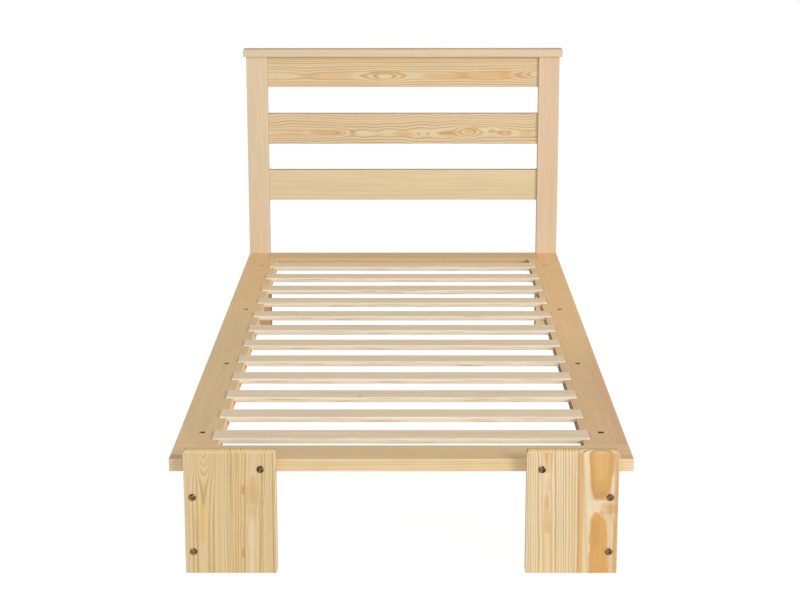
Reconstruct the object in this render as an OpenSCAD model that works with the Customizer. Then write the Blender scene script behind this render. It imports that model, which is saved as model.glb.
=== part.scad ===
// Slatted pine bed: flat side rails on standing beams, a foot rail bolted to two foot planks,
// housed slats, and a headboard of three slats between posts that are also the rear legs.
// Millimetres. Z is up and Y runs from the foot to the head. Left is -X, seen from the foot.

/* [Overall] */
// Width over the side rails
bed_w = 940; // [840:10:1100]
// Length from the front edge of the foot rail to the front faces of the posts
bed_l = 2010; // [1980:5:2120]
// Height of the rail tops above the floor
rail_top = 235; // [190:5:320]

/* [Boards] */
// Width of the rails, beams, leg boards and headboard slats
board_w = 92; // [86:1:100]
// Thickness of the rails, beams, planks and headboard slats
board_t = 26; // [24:1:30]
// Radius of the eased long edges of the boards
ease_r = 1.5; // [0.5:0.5:4]

/* [Slats] */
// Width of a bed slat
slat_w = 57; // [45:1:70]
// Thickness of a bed slat
slat_t = 12; // [10:1:18]
// How far the slats stand above the rails
slat_proud = 3; // [1:0.5:5]
// How far each slat end lies in its housing
slat_lap = 17; // [12:1:24]
// Open gap between the foot rail and the first slat
slat_first_gap = 39; // [20:1:60]
// Distance from one slat to the next
slat_pitch = 151.5; // [140:0.5:152]
// Radius of the eased long edges of a slat
slat_ease_r = 1; // [0.5:0.5:3]

/* [Foot] */
// Width of a foot plank, which is two glued staves
plank_w = 186; // [150:2:220]
// Distance from the end of the foot rail to the outer edge of a plank
plank_inset = 32; // [24:1:36]
// Height of the planks above the rail tops
plank_up = 25; // [10:1:50]
// Radius of the rounded top edges of a plank
plank_round_r = 7; // [4:0.5:11]
// Height of the lowest bolt above the floor
leg_bolt_z = 47; // [35:1:50]
// Distance from the inner edge of a plank to its inner bolt
inner_bolt_in = 31; // [20:1:60]

/* [Side beams] */
// Distance from the outer edge of a side rail to its beam
beam_inset = 36; // [34:1:40]
// Distance from a beam's ends to its first and last screw
screw_end = 180; // [150:5:250]
// Number of screws in each side rail
screw_count = 4; // [3:1:6]

/* [Headboard] */
// Width of a post
post_w = 62; // [62:1:72]
// Depth of a post
post_d = 42; // [38:1:60]
// Height of the posts above the rail tops
post_up = 600; // [560:10:700]
// Open gap between the headboard slats
head_gap = 80; // [40:5:95]
// Thickness of the cap
cap_t = 22; // [16:1:30]
// Overhang of the cap on every side
cap_over = 8; // [4:1:16]
// Radius of the rounded edges of the cap
cap_round_r = 2.5; // [1:0.5:6]

/* [Fasteners] */
// Diameter of the bolt shanks
bolt_d = 6; // [5:0.5:8]
// Diameter of the bolt heads
bolt_head_d = 14; // [12:0.5:18]
// Height of the bolt heads
bolt_head_h = 2.2; // [1.5:0.1:3]
// Width across the flats of the bolt heads' sockets
socket_af = 4; // [3:0.5:5]
// Diameter of the barrel nuts
nut_d = 10; // [9:0.5:12]
// Length of the barrel nuts
nut_l = 18; // [14:1:20]
// Depth of the barrel nuts behind the joint face
nut_depth = 34; // [28:1:38]
// Diameter of the rail screws' shanks
screw_d = 4.6; // [4:0.1:5.5]
// Length of the rail screws
screw_l = 68; // [55:1:75]
// Diameter of the screw heads
screw_head_d = 9.4; // [8.5:0.1:10.5]
// Diameter of the counterbores above the rail screws
bore_d = 11.4; // [11:0.1:14]
// Depth of the counterbores above the rail screws
bore_depth = 2.5; // [1.5:0.5:5]
// Diameter of the dowels
dowel_d = 8; // [6:0.5:10]
// Length of the dowels
dowel_l = 40; // [30:1:44]

/* [Clearances] */
// Gap at each end of a slat in its housing
slat_end_gap = 1; // [0.5:0.1:2]
// Gap along each side of a slat in its housing
slat_side_gap = 0.5; // [0.3:0.1:1]
// Gap between the shoulders of the cross rail and the side rails
shoulder_gap = 0.3; // [0.1:0.1:0.8]
// Radial gap round shanks, barrel nuts and dowels
hole_gap = 0.15; // [0.1:0.05:0.3]
// Spare depth at the bottom of blind holes
hole_spare = 1; // [0.5:0.5:2]

/* [Hidden] */

arc_steps = 4;
cut = 1;

pine = "burlywood";
pale_pine = "wheat";
bronze = "peru";
steel = "silver";
beech = "tan";

// Heights
rail_z = rail_top - board_t;
rail_mid_z = rail_top - board_t / 2;
beam_z = rail_z - board_w;
beam_mid_z = beam_z + board_w / 2;
slat_z = rail_top + slat_proud - slat_t;
post_top = rail_top + post_up;
lap_t = board_t / 2;

// Places across the bed, on the +X side
rail_x = bed_w / 2 - board_w;
slat_end_x = rail_x + slat_lap;
housing_x = slat_end_x + slat_end_gap;
beam_x = bed_w / 2 - beam_inset - board_t;
beam_mid_x = beam_x + board_t / 2;
plank_x = bed_w / 2 - plank_inset - plank_w;
inner_bolt_x = plank_x + inner_bolt_in;
post_x = bed_w / 2 - post_w;
// The cross rail reaches to the inner faces of the posts
cross_end_x = post_x - slat_end_gap;

// Places along the bed, from the front edge of the foot rail
head_slat_y = bed_l + (post_d - board_t) / 2;
cross_y = head_slat_y - board_w;
front_y = -board_t - bolt_head_h;
back_y = bed_l + post_d + cap_over;
mid_y = (front_y + back_y) / 2;
screw_step = (bed_l - 2 * screw_end) / (screw_count - 1);

// As many slats as fit before the head cross rail, with at least this gap in front of it
slat_least_gap = 15;
slat_count = 1 + floor((cross_y - slat_least_gap - slat_w - slat_y(1)) / slat_pitch);

// Fasteners
head_flat_h = 0.8;
socket_depth = 1.6;
shank_spare = 3;
shank_past_nut = nut_d / 2 + shank_spare;
dowel_hole_l = dowel_l / 2 + hole_spare;
dowel_inset = 24;
dowel_wall = 2;
cap_dowel_edge = 13;
cap_cover = 6;
cap_dowel_up = cap_t - cap_cover;
foot_cover = 10;
foot_dowel_up = board_t - foot_cover;
post_bolt_step = 44;
post_head_sink = 3;
lap_screw_d = 3.6;
lap_screw_l = 21;
lap_head_d = 7.4;
tip_l = 7;
head_slats_z = [for (k = [1:3]) post_top - k * board_w - (k - 1) * head_gap];

function slat_y(i) = board_w + slat_first_gap + (i - 1) * slat_pitch;
function screw_y(k) = screw_end + k * screw_step;

function slat_node(i) = str(i < 10 ? "slat_0" : "slat_", i);

// Places of the dowels: side rail to foot rail, foot rail and leg to beam, headboard slat to post
function side_dowel_x() = [rail_x + dowel_inset, bed_w / 2 - dowel_inset];
function foot_dowel_y() = [dowel_inset, board_w - dowel_inset];
function head_dowel_dz() = [dowel_inset, board_w - dowel_inset];

// The cap's dowels stand clear of the headboard dowels
function cap_dowel_x() = [
    post_x + dowel_hole_l + dowel_d / 2 + dowel_wall,
    bed_w / 2 - cap_dowel_edge
];

// Heights of the bolts from a post into its beam, and place of the screw through each lap
function post_bolt_z() = [beam_mid_z - post_bolt_step / 2, beam_mid_z + post_bolt_step / 2];
function lap_screw_x() = (rail_x + cross_end_x) / 2;
function lap_screw_y() = cross_y + board_w / 2;

// Place across and height of the three bolts of a plank
function plank_bolt_places() = [
    [inner_bolt_x, rail_mid_z],
    [beam_mid_x, beam_mid_z],
    [beam_mid_x, leg_bolt_z]
];

// Points of a quarter circle from angle a
function arc(x, y, r, a) = [
    for (k = [0:arc_steps])
        [x + r * cos(a + 90 * k / arc_steps), y + r * sin(a + 90 * k / arc_steps)]
];

// Rectangle from the origin with radius r on the two corners at the bottom and top_r on those at the top
function eased(w, h, r, top_r) = concat(
    arc(w - top_r, h - top_r, top_r, 0),
    arc(top_r, h - top_r, top_r, 90),
    arc(r, r, r, 180),
    arc(w - r, r, r, 270)
);

// The model's origin is at the middle of its footprint
module at_origin() {
    translate([0, -mid_y, 0]) children();
}

// Draws the +X side as it is, or mirrored to -X
module on_side(side) {
    mirror([side < 0 ? 1 : 0, 0, 0]) children();
}

// Boards from a corner at the origin, with eased long edges
module board_along_x(l, w, t, r) {
    rotate([90, 0, 90]) linear_extrude(l) polygon(eased(w, t, r, r));
}

module board_along_y(w, l, t, r) {
    translate([0, l, 0]) rotate([90, 0, 0]) linear_extrude(l) polygon(eased(w, t, r, r));
}

module board_along_z(w, d, l, r) {
    linear_extrude(l) polygon(eased(w, d, r, r));
}

// Drilled holes: each starts a little outside the face it is drilled from
module hole_y(x, y, z, d, l) {
    translate([x, y, z]) rotate([-90, 0, 0]) translate([0, 0, -cut])
        cylinder(d = d + 2 * hole_gap, h = l + cut, $fn = 32);
}

module hole_x(x, y, z, d, l) {
    translate([x, y, z]) rotate([0, 90, 0]) translate([0, 0, -cut])
        cylinder(d = d + 2 * hole_gap, h = l + cut, $fn = 32);
}

module hole_z(x, y, z, d, l) {
    translate([x, y, z]) translate([0, 0, -cut])
        cylinder(d = d + 2 * hole_gap, h = l + cut, $fn = 32);
}

module hole_down(x, y, z, d, l) {
    translate([x, y, z - l]) cylinder(d = d + 2 * hole_gap, h = l + cut, $fn = 32);
}

// Blind hole for a barrel nut, drilled towards +X, with the nut at mid thickness
module nut_hole_x(y, z) {
    hole_x(beam_x, y, z, nut_d, board_t / 2 + nut_l / 2);
}

// Foot end

module foot_rail() {
    color(pine) difference() {
        translate([-bed_w / 2, 0, rail_z]) board_along_x(bed_w, board_w, board_t, ease_r);
        for (side = [-1, 1]) on_side(side) {
            hole_y(inner_bolt_x, 0, rail_mid_z, bolt_d, nut_depth + shank_past_nut + hole_spare);
            hole_z(inner_bolt_x, nut_depth, rail_z, nut_d, board_t / 2 + nut_l / 2);
            for (x = side_dowel_x())
                translate([0, board_w, 0]) mirror([0, 1, 0])
                    hole_y(x, 0, rail_mid_z, dowel_d, dowel_hole_l);
            for (y = foot_dowel_y()) hole_z(beam_mid_x, y, rail_z, dowel_d, foot_dowel_up + hole_spare);
        }
    }
}

module foot_plank(side) {
    plank_h = rail_top + plank_up;
    color(pale_pine) on_side(side) difference() {
        translate([plank_x, -board_t, 0]) intersection() {
            rotate([90, 0, 90]) linear_extrude(plank_w) polygon(eased(board_t, plank_h, ease_r, plank_round_r));
            board_along_z(plank_w, board_t, plank_h, ease_r);
            translate([0, board_t, 0]) rotate([90, 0, 0]) linear_extrude(board_t)
                polygon(eased(plank_w, plank_h, ease_r, plank_round_r));
        }
        for (p = plank_bolt_places()) hole_y(p[0], -board_t, p[1], bolt_d, board_t + cut);
    }
}

module foot_leg(side) {
    color(pine) on_side(side) difference() {
        translate([beam_x, 0, 0]) board_along_z(board_t, board_w, beam_z, ease_r);
        hole_y(beam_mid_x, 0, leg_bolt_z, bolt_d, nut_depth + shank_past_nut + hole_spare);
        nut_hole_x(nut_depth, leg_bolt_z);
        for (y = foot_dowel_y()) hole_down(beam_mid_x, y, beam_z, dowel_d, dowel_hole_l);
    }
}

// Sides

module side_rail(side) {
    rail_l = bed_l - board_w;
    color(pine) on_side(side) difference() {
        translate([rail_x, board_w, rail_z]) board_along_y(board_w, rail_l, board_t, ease_r);
        for (i = [1:slat_count]) housing(slat_y(i), slat_w, slat_t - slat_proud, housing_x);
        housing(cross_y, bed_l - cross_y + cut, lap_t, post_x);
        for (k = [0:screw_count - 1]) rail_screw_hole(screw_y(k));
        for (x = side_dowel_x()) hole_y(x, board_w, rail_mid_z, dowel_d, dowel_hole_l);
        hole_z(lap_screw_x(), lap_screw_y(), rail_z, lap_screw_d, board_t);
        translate([lap_screw_x(), lap_screw_y(), rail_z]) countersink(lap_head_d, lap_screw_d);
    }
}

// Housing in the inner edge of a side rail, as far as end_x, for the end of a board of width w
module housing(y, w, depth, end_x) {
    translate([rail_x - cut, y - slat_side_gap, rail_top - depth])
        cube([end_x - rail_x + cut, w + 2 * slat_side_gap, depth + cut]);
}

module rail_screw_hole(y) {
    seat_z = rail_top - bore_depth;
    translate([beam_mid_x, y, seat_z]) cylinder(d = bore_d, h = bore_depth + cut, $fn = 32);
    translate([beam_mid_x, y, seat_z]) mirror([0, 0, 1]) countersink(screw_head_d, screw_d);
    hole_z(beam_mid_x, y, rail_z, screw_d, board_t);
}

// Seat of a 90 degree screw head that opens downwards
module countersink(head_d, shank_d) {
    r1 = head_d / 2 + hole_gap;
    r2 = shank_d / 2 + hole_gap;
    translate([0, 0, -cut]) cylinder(r = r1, h = cut + 0.01, $fn = 32);
    cylinder(r1 = r1, r2 = r2, h = r1 - r2, $fn = 32);
}

module side_beam(side) {
    color(pine) on_side(side) difference() {
        translate([beam_x, 0, beam_z]) board_along_y(board_t, bed_l, board_w, ease_r);
        hole_y(beam_mid_x, 0, beam_mid_z, bolt_d, nut_depth + shank_past_nut + hole_spare);
        nut_hole_x(nut_depth, beam_mid_z);
        for (z = post_bolt_z()) {
            translate([0, bed_l, 0]) mirror([0, 1, 0])
                hole_y(beam_mid_x, 0, z, bolt_d, nut_depth + shank_past_nut + hole_spare);
            nut_hole_x(bed_l - nut_depth, z);
        }
        for (k = [0:screw_count - 1])
            hole_down(beam_mid_x, screw_y(k), rail_z, screw_d, screw_l + bore_depth - board_t + hole_spare);
        for (y = foot_dowel_y()) {
            hole_down(beam_mid_x, y, rail_z, dowel_d, dowel_l - foot_dowel_up + hole_spare);
            hole_z(beam_mid_x, y, beam_z, dowel_d, dowel_hole_l);
        }
    }
}

// Bed base

module slat(i) {
    color(pale_pine)
        translate([-slat_end_x, slat_y(i), slat_z])
            board_along_x(2 * slat_end_x, slat_w, slat_t, slat_ease_r);
}

// Lies flush between the side rails, with a tongue of half its thickness in each
module head_cross_rail() {
    shoulder_x = rail_x - shoulder_gap;
    color(pine) difference() {
        translate([-cross_end_x, cross_y, rail_z]) board_along_x(2 * cross_end_x, board_w, board_t, ease_r);
        for (side = [-1, 1]) on_side(side) {
            translate([shoulder_x, cross_y - cut, rail_z - cut])
                cube([cross_end_x - shoulder_x + cut, board_w + 2 * cut, board_t - lap_t + cut]);
            hole_z(lap_screw_x(), lap_screw_y(), rail_top - lap_t, lap_screw_d,
                lap_screw_l - (board_t - lap_t) + hole_spare);
        }
    }
}

// Headboard

module head_post(side) {
    color(pale_pine) on_side(side) difference() {
        translate([post_x, bed_l, 0]) board_along_z(post_w, post_d, post_top, ease_r);
        for (z = post_bolt_z()) {
            hole_y(beam_mid_x, bed_l, z, bolt_d, post_d + cut);
            translate([0, bed_l + post_d, 0]) mirror([0, 1, 0])
                hole_y(beam_mid_x, 0, z, bolt_head_d, post_head_sink);
        }
        for (z = head_slats_z, dz = head_dowel_dz())
            hole_x(post_x, head_slat_y + board_t / 2, z + dz, dowel_d, dowel_hole_l);
        for (x = cap_dowel_x())
            hole_down(x, bed_l + post_d / 2, post_top, dowel_d, dowel_l - cap_dowel_up + hole_spare);
    }
}

module headboard_slat(k) {
    color(pale_pine) difference() {
        translate([-post_x, head_slat_y, head_slats_z[k]])
            board_along_x(2 * post_x, board_t, board_w, ease_r);
        for (side = [-1, 1], dz = head_dowel_dz())
            on_side(side) translate([post_x, 0, 0]) mirror([1, 0, 0])
                hole_x(0, head_slat_y + board_t / 2, head_slats_z[k] + dz, dowel_d, dowel_hole_l);
    }
}

module headboard_cap() {
    cap_w = bed_w + 2 * cap_over;
    cap_d = post_d + 2 * cap_over;
    color(pale_pine) difference() {
        translate([-cap_w / 2, bed_l - cap_over, post_top]) intersection() {
            board_along_x(cap_w, cap_d, cap_t, cap_round_r);
            board_along_z(cap_w, cap_d, cap_t, cap_round_r);
            board_along_y(cap_w, cap_d, cap_t, cap_round_r);
        }
        for (side = [-1, 1], x = cap_dowel_x())
            on_side(side) hole_z(x, bed_l + post_d / 2, post_top, dowel_d, cap_dowel_up + hole_spare);
    }
}

// Fasteners

// Domed head with a hexagon socket, on a shank towards +Y. The head lies on the plane y = 0
module bolt(l) {
    rotate([-90, 0, 0]) {
        difference() {
            rotate_extrude($fn = 48) polygon(concat(
                [[0, -bolt_head_h], [bolt_head_d / 2 - bolt_head_h, -bolt_head_h]],
                [for (k = [1:arc_steps]) [
                    bolt_head_d / 2 - bolt_head_h + bolt_head_h * sin(90 * k / arc_steps),
                    -head_flat_h - (bolt_head_h - head_flat_h) * cos(90 * k / arc_steps)
                ]],
                [[bolt_head_d / 2, 0], [0, 0]]
            ));
            translate([0, 0, -bolt_head_h - cut])
                cylinder(d = socket_af / cos(30), h = socket_depth + cut, $fn = 6);
        }
        cylinder(d = bolt_d, h = l, $fn = 32);
    }
}

module plank_bolts(side) {
    color(bronze) on_side(side)
        for (p = plank_bolt_places())
            translate([p[0], -board_t, p[1]]) bolt(board_t + nut_depth + shank_past_nut);
}

module post_bolts(side) {
    color(steel) on_side(side)
        for (z = post_bolt_z())
            translate([beam_mid_x, bed_l + post_d - post_head_sink, z]) mirror([0, 1, 0])
                bolt(post_d - post_head_sink + nut_depth + shank_past_nut);
}

// Barrel nut centred on the origin, its length along X and its cross hole along Y
module barrel_nut() {
    slot_w = 1.2;
    slot_depth = 2;
    rotate([0, 90, 0]) difference() {
        translate([0, 0, -nut_l / 2]) cylinder(d = nut_d, h = nut_l, $fn = 32);
        rotate([90, 0, 0]) translate([0, 0, -nut_d]) cylinder(d = bolt_d + 2 * hole_gap, h = 2 * nut_d, $fn = 32);
        translate([-nut_d, -slot_w / 2, -nut_l / 2 - cut]) cube([2 * nut_d, slot_w, slot_depth + cut]);
    }
}

module foot_barrel_nuts() {
    color(steel) for (side = [-1, 1]) on_side(side) {
        translate([inner_bolt_x, nut_depth, rail_mid_z]) rotate([0, -90, 0]) barrel_nut();
        translate([beam_mid_x, nut_depth, beam_mid_z]) barrel_nut();
        translate([beam_mid_x, nut_depth, leg_bolt_z]) barrel_nut();
    }
}

module head_barrel_nuts() {
    color(steel) for (side = [-1, 1], z = post_bolt_z())
        on_side(side) translate([beam_mid_x, bed_l - nut_depth, z]) barrel_nut();
}

// Countersunk screw pointing down, its head's flat top on the plane z = 0
module wood_screw(d, l, head_d) {
    recess_w = 1.1;
    recess_depth = 1.8;
    head_l = (head_d - d) / 2;
    difference() {
        rotate_extrude($fn = 32)
            polygon([[0, 0], [head_d / 2, 0], [d / 2, -head_l], [d / 2, -l + tip_l], [0, -l]]);
        for (a = [0, 90]) rotate([0, 0, a])
            translate([-head_d * 0.28, -recess_w / 2, -recess_depth]) cube([head_d * 0.56, recess_w, recess_depth + cut]);
    }
}

module rail_screws(side) {
    color(bronze) on_side(side)
        for (k = [0:screw_count - 1])
            translate([beam_mid_x, screw_y(k), rail_top - bore_depth]) wood_screw(screw_d, screw_l, screw_head_d);
}

module lap_screws() {
    color(steel) for (side = [-1, 1])
        on_side(side) translate([lap_screw_x(), lap_screw_y(), rail_z]) mirror([0, 0, 1])
            wood_screw(lap_screw_d, lap_screw_l, lap_head_d);
}

// Dowel centred on the origin along Z, with chamfered ends
module dowel() {
    chamfer = 1;
    r = dowel_d / 2;
    h = dowel_l / 2;
    color(beech) rotate_extrude($fn = 32)
        polygon([[0, -h], [r - chamfer, -h], [r, -h + chamfer], [r, h - chamfer], [r - chamfer, h], [0, h]]);
}

module side_rail_dowels() {
    for (side = [-1, 1], x = side_dowel_x())
        on_side(side) translate([x, board_w, rail_mid_z]) rotate([90, 0, 0]) dowel();
}

module foot_rail_dowels() {
    for (side = [-1, 1], y = foot_dowel_y())
        on_side(side) translate([beam_mid_x, y, rail_z + foot_dowel_up - dowel_l / 2]) dowel();
}

module leg_dowels() {
    for (side = [-1, 1], y = foot_dowel_y())
        on_side(side) translate([beam_mid_x, y, beam_z]) dowel();
}

module headboard_dowels() {
    for (side = [-1, 1], z = head_slats_z, dz = head_dowel_dz())
        on_side(side) translate([post_x, head_slat_y + board_t / 2, z + dz]) rotate([0, 90, 0]) dowel();
}

module cap_dowels() {
    for (side = [-1, 1], x = cap_dowel_x())
        on_side(side) translate([x, bed_l + post_d / 2, post_top + cap_dowel_up - dowel_l / 2]) dowel();
}

at_origin() foot_rail();
at_origin() side_rail(-1);  // side_rail_left
at_origin() side_rail(1);  // side_rail_right
at_origin() head_cross_rail();
at_origin() side_beam(-1);  // side_beam_left
at_origin() side_beam(1);  // side_beam_right
at_origin() foot_leg(-1);  // foot_leg_left
at_origin() foot_leg(1);  // foot_leg_right
at_origin() foot_plank(-1);  // foot_plank_left
at_origin() foot_plank(1);  // foot_plank_right
at_origin() head_post(-1);  // head_post_left
at_origin() head_post(1);  // head_post_right
at_origin() headboard_slat(0);  // headboard_slat_top
at_origin() headboard_slat(1);  // headboard_slat_middle
at_origin() headboard_slat(2);  // headboard_slat_bottom
at_origin() headboard_cap();
for (i = [1:slat_count]) at_origin() slat(i);
at_origin() plank_bolts(-1);  // plank_bolts_left
at_origin() plank_bolts(1);  // plank_bolts_right
at_origin() post_bolts(-1);  // post_bolts_left
at_origin() post_bolts(1);  // post_bolts_right
at_origin() foot_barrel_nuts();
at_origin() head_barrel_nuts();
at_origin() rail_screws(-1);  // rail_screws_left
at_origin() rail_screws(1);  // rail_screws_right
at_origin() lap_screws();
at_origin() side_rail_dowels();
at_origin() foot_rail_dowels();
at_origin() leg_dowels();
at_origin() headboard_dowels();
at_origin() cap_dowels();
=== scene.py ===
"""Slatted pine bed: finished boards, fasteners, lights and camera, built on the bed's fixed frame.

Metres. Z is up and Y runs from the foot to the head. Left is -X, seen from the foot.
Each board has its own wood: a solid of growth rings round a pith line, cut by the board's faces.
"""

import math
from dataclasses import dataclass

import bpy
import bmesh
from mathutils import Matrix, Vector


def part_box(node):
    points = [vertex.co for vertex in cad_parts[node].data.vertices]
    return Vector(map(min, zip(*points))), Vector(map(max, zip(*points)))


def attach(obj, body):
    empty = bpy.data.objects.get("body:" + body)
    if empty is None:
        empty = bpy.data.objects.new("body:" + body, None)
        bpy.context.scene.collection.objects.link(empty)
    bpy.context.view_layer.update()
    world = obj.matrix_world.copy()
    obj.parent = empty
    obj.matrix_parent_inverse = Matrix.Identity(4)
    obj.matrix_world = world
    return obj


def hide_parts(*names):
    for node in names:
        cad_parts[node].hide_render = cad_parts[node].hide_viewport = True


bl_info = {
    "name": "Slatted Pine Bed",
    "version": (1, 0, 0),
    "blender": (4, 5, 0),
    "location": "View3D > Sidebar > Pine Bed",
    "description": "Builds the boards, slats, fasteners and studio of a slatted pine bed",
    "category": "Object",
}

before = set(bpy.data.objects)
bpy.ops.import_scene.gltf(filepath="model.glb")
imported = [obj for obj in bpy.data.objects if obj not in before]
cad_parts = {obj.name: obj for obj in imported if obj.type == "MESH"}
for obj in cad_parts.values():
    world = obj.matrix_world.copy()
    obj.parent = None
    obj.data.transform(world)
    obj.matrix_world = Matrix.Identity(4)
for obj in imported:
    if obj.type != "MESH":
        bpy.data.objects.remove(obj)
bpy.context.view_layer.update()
BODY = "root"
WELD = 2e-6  # corners nearer than this are one corner
SIDES = ("left", "right")


def linear(r, g, b):
    """A colour as the render stores it, from display values of 0 to 255."""
    made = [c / 255 / 12.92 if c <= 10.3 else ((c / 255 + 0.055) / 1.055) ** 2.4 for c in (r, g, b)]
    return (*made, 1.0)


def box_middle(node):
    low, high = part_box(node)
    return (low + high) / 2


def box_size(node):
    low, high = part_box(node)
    return high - low


# Settings that a user would change


def colour_setting(name, text, value):
    return bpy.props.FloatVectorProperty(
        name=name, description=text, default=linear(*value), size=4, min=0, max=1, subtype="COLOR"
    )


def length_setting(name, text, value):
    return bpy.props.FloatProperty(
        name=name, description=text, default=value, min=0, precision=4, subtype="DISTANCE", unit="LENGTH"
    )


def power_setting(name, text, watts):
    return bpy.props.FloatProperty(name=name, description=text, default=watts, min=0, unit="POWER")


def angle_setting(name, text, degrees):
    angle = math.radians(degrees)
    return bpy.props.FloatProperty(name=name, description=text, default=angle, unit="ROTATION")


class PineBedWood(bpy.types.PropertyGroup):
    rails: colour_setting("Rails", "Pale wood of the rails, the beams and the leg boards", (232, 204, 158))
    slats: colour_setting("Slats", "Pale wood of the bed slats", (241, 221, 190))
    # Painted light: a paler colour for the slats' long narrow faces than for their tops, as the lamps light
    # those faces more.
    lit_slat_fronts: colour_setting("Slat edges", "Pale wood of the slats' long narrow faces", (252, 238, 213))
    planks: colour_setting("Planks", "Pale wood of the foot planks", (223, 199, 155))
    panel: colour_setting("Headboard", "Pale wood of the headboard slats", (231, 210, 171))
    posts: colour_setting("Posts", "Pale wood of the posts and the cap", (231, 209, 178))
    # Also used for painted shade on the cap's top, the foot rail's top ends, the right rail's inner face and
    # the headboard slats' top edges.
    late: colour_setting("Late wood", "Colour of the dark line of each growth ring", (196, 150, 92))
    late_yellow: colour_setting("Yellow late wood", "Late wood of the left foot plank", (198, 164, 106))
    resin: colour_setting("Resin streak", "Yellow, resinous streaks in the foot planks", (226, 182, 96))
    # Also used for painted shade on the left post below the rails.
    amber_and_shade: colour_setting("Heartwood", "Colour of the resin-rich zones", (219, 168, 100))
    # Also used for painted light at the ends of the foot rail's front edge.
    cream_and_light: colour_setting("Sapwood", "Colour of the palest zones", (238, 218, 182))
    rosy: colour_setting("Rosy wood", "Faint pink of the right rail and the right post", (226, 178, 140))
    # Also used for painted light on the left rail's inner face.
    honey_and_light: colour_setting("Honey wood", "Warm light wood at the far ends of the side rails", (250, 208, 150))
    # Painted shade: this dark colour is laid into the screw holes and onto edges that fall in shade.
    painted_shade: colour_setting("Stained wood", "Wood in the screw holes and at shaded edges", (54, 36, 22))
    # Also used for painted shade at the ends of the headboard slats and of the bed slats.
    knot: colour_setting("Knots", "Colour of the pin knots", (112, 78, 46))
    glue: colour_setting("Glue line", "Colour of the line between two staves", (186, 143, 92))
    beech: colour_setting("Beech", "Wood of the dowels", (214, 178, 138))
    beech_fleck: colour_setting("Beech flecks", "Short dark flecks of the dowels", (166, 118, 78))
    edge_radius: length_setting("Soft edge", "Radius that sanding leaves on the sharp edges", 0.0007)


class PineBedSlats(bpy.types.PropertyGroup):
    length: length_setting("Length", "Length of a bed slat", box_size("slat_01").x)
    width: length_setting("Width", "Width of a bed slat", box_size("slat_01").y)
    thickness: length_setting("Thickness", "Thickness of a bed slat", box_size("slat_01").z)
    eased: length_setting("Eased edge", "Radius of the long edges of a slat", 0.001)
    count: bpy.props.IntProperty(name="Count", description="Number of bed slats", default=12, min=1)
    pitch: length_setting(
        "Pitch", "Distance from one slat to the next", box_middle("slat_02").y - box_middle("slat_01").y
    )


class PineBedFasteners(bpy.types.PropertyGroup):
    bronze: colour_setting("Bronze", "Colour of the plank bolts and rail screws", (149, 119, 83))
    # The dark colour is used for the dull patches and for the painted dark reflection towards each head's
    # rim.
    bronze_dark: colour_setting("Dark bronze", "Colour in the recesses of the bronze", (40, 26, 13))
    zinc: colour_setting("Zinc", "Colour of the hidden steel", (176, 179, 182))
    head_diameter: length_setting("Head diameter", "Diameter of a bolt head", 0.0146)
    head_height: length_setting("Head height", "Height of a bolt head", 0.0022)
    shank: length_setting("Shank", "Diameter of a bolt shank", 0.006)
    socket: length_setting("Socket", "Width across the flats of the hexagon socket", 0.004)
    socket_depth: length_setting("Socket depth", "Depth of the hexagon socket", 0.0016)
    screw_head: length_setting("Screw head", "Diameter of a rail screw's head", 0.0094)
    screw_shank: length_setting("Screw shank", "Diameter of a rail screw's shank", 0.0046)


class PineBedStudio(bpy.types.PropertyGroup):
    sky: bpy.props.FloatProperty(name="Ambient", description="Even light from all round", default=0.52, min=0)
    key: power_setting("Key", "Softbox at the front right", 700)
    fill: power_setting("Fill", "Large softbox behind the camera", 360)
    lens: bpy.props.FloatProperty(
        name="Lens", description="Focal length on a 36 mm wide sensor", default=83.857, unit="CAMERA"
    )
    pitch: angle_setting("Pitch", "How far the camera looks down", 13.39725)
    yaw: angle_setting("Yaw", "How far the camera turns to the left", 0.21077)
    roll: angle_setting("Roll", "Turn about the line of sight", -0.05904)
    eye: bpy.props.FloatVectorProperty(
        name="Camera place", description="Where the camera stands", default=(0.01105, -4.60103, 1.41932),
        subtype="TRANSLATION", unit="LENGTH",
    )


# Wiring of node trees


class Value:
    """An output of a node to write formulas with: each sum, product or ratio adds a math node."""

    def __init__(self, wiring, socket):
        self.wiring = wiring
        self.socket = socket

    def __add__(self, other):
        return self.wiring.math("ADD", self, other)

    def __sub__(self, other):
        return self.wiring.math("SUBTRACT", self, other)

    def __rsub__(self, other):
        return self.wiring.math("SUBTRACT", other, self)

    def __mul__(self, other):
        return self.wiring.math("MULTIPLY", self, other)

    def __truediv__(self, other):
        return self.wiring.math("DIVIDE", self, other)

    def __rtruediv__(self, other):
        return self.wiring.math("DIVIDE", other, self)

    __radd__ = __add__
    __rmul__ = __mul__


def first_output(node):
    return next(output for output in node.outputs if output.enabled)


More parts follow.
